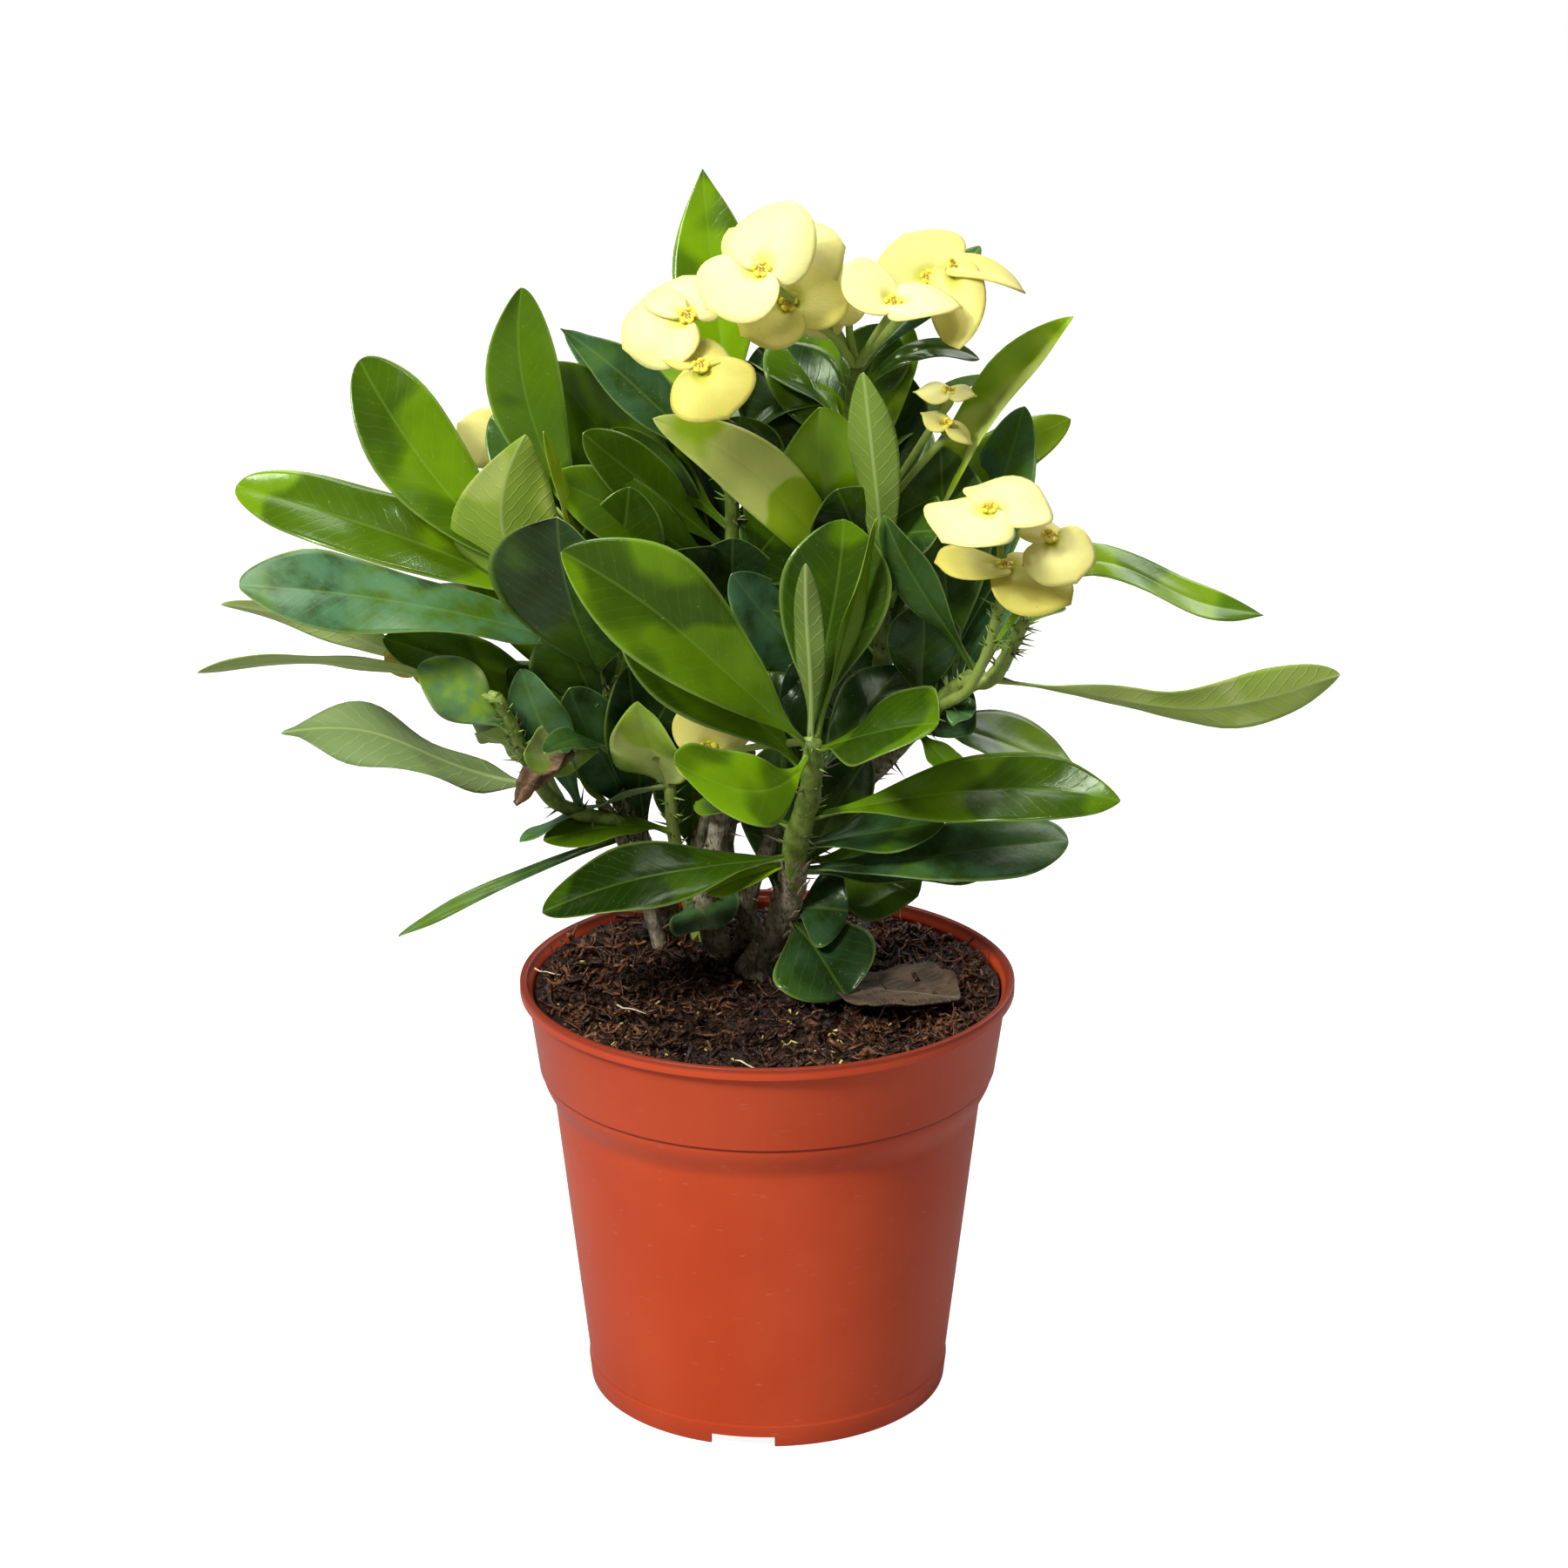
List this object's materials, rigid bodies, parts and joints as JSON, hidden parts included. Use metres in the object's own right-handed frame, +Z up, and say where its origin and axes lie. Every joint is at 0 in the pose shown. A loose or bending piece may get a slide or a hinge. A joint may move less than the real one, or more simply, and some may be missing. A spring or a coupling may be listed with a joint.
{
  "type": "potted euphorbia",
  "caption": "Crown-of-thorns euphorbia with thick stems, long oval leaves and cream flower heads, growing in soil in a tapered round plastic nursery pot.",
  "frame": {"origin": "centre of the pot's base, on the surface it stands on", "axes": "+Z up along the pot's axis, -Y towards the front, +X to the right seen from the front"},
  "size_m": [0.2693, 0.12, 0.2932],
  "materials": {
    "pot_plastic": "satin moulded terracotta-red plastic",
    "potting_mix": "damp coarse coconut fibre mix",
    "stem": "grey-brown bark below, green above",
    "leaf": "waxy green",
    "bract": "soft cream-yellow",
    "dry_leaf": "dry brown"
  },
  "bodies": {
    "root": {"back_leaf_1": "leaf", "back_leaf_2": "leaf", "back_leaf_3": "leaf", "back_leaf_4": "leaf", "back_stem": "stem", "branch_leaf_1": "leaf", "branch_leaf_2": "leaf", "branch_leaf_3": "leaf", "centre_leaf_1": "leaf", "centre_leaf_2": "leaf", "centre_leaf_3": "leaf", "centre_leaf_4": "leaf", "centre_leaf_5": "leaf", "centre_leaf_6": "leaf", "centre_leaf_7": "leaf", "centre_leaf_8": "leaf", "centre_stem": "stem", "dried_leaf": "dry_leaf", "fallen_leaf": "dry_leaf", "front_leaf_1": "leaf", "front_leaf_10": "leaf", "front_leaf_2": "leaf", "front_leaf_3": "leaf", "front_leaf_4": "leaf", "front_leaf_5": "leaf", "front_leaf_6": "leaf", "front_leaf_7": "leaf", "front_leaf_8": "leaf", "front_leaf_9": "leaf", "front_stem": "stem", "left_branch": "stem", "left_leaf_1": "leaf", "left_leaf_2": "leaf", "left_leaf_3": "leaf", "left_leaf_4": "leaf", "left_leaf_5": "leaf", "left_leaf_6": "leaf", "left_leaf_7": "leaf", "left_leaf_8": "leaf", "left_stem": "stem", "pot": "pot_plastic", "right_flower_1": "bract", "right_flower_2": "bract", "right_flower_3": "bract", "right_leaf_1": "leaf", "right_leaf_2": "leaf", "right_leaf_3": "leaf", "right_leaf_4": "leaf", "right_leaf_5": "leaf", "right_peduncle": "stem", "right_stem": "stem", "slender_stem": "stem", "soil": "potting_mix", "top_flower_1": "bract", "top_flower_2": "bract", "top_flower_3": "bract", "top_flower_4": "bract", "top_flower_5": "bract", "top_flower_6": "bract", "top_flower_7": "bract"}
  },
  "joints": []
}
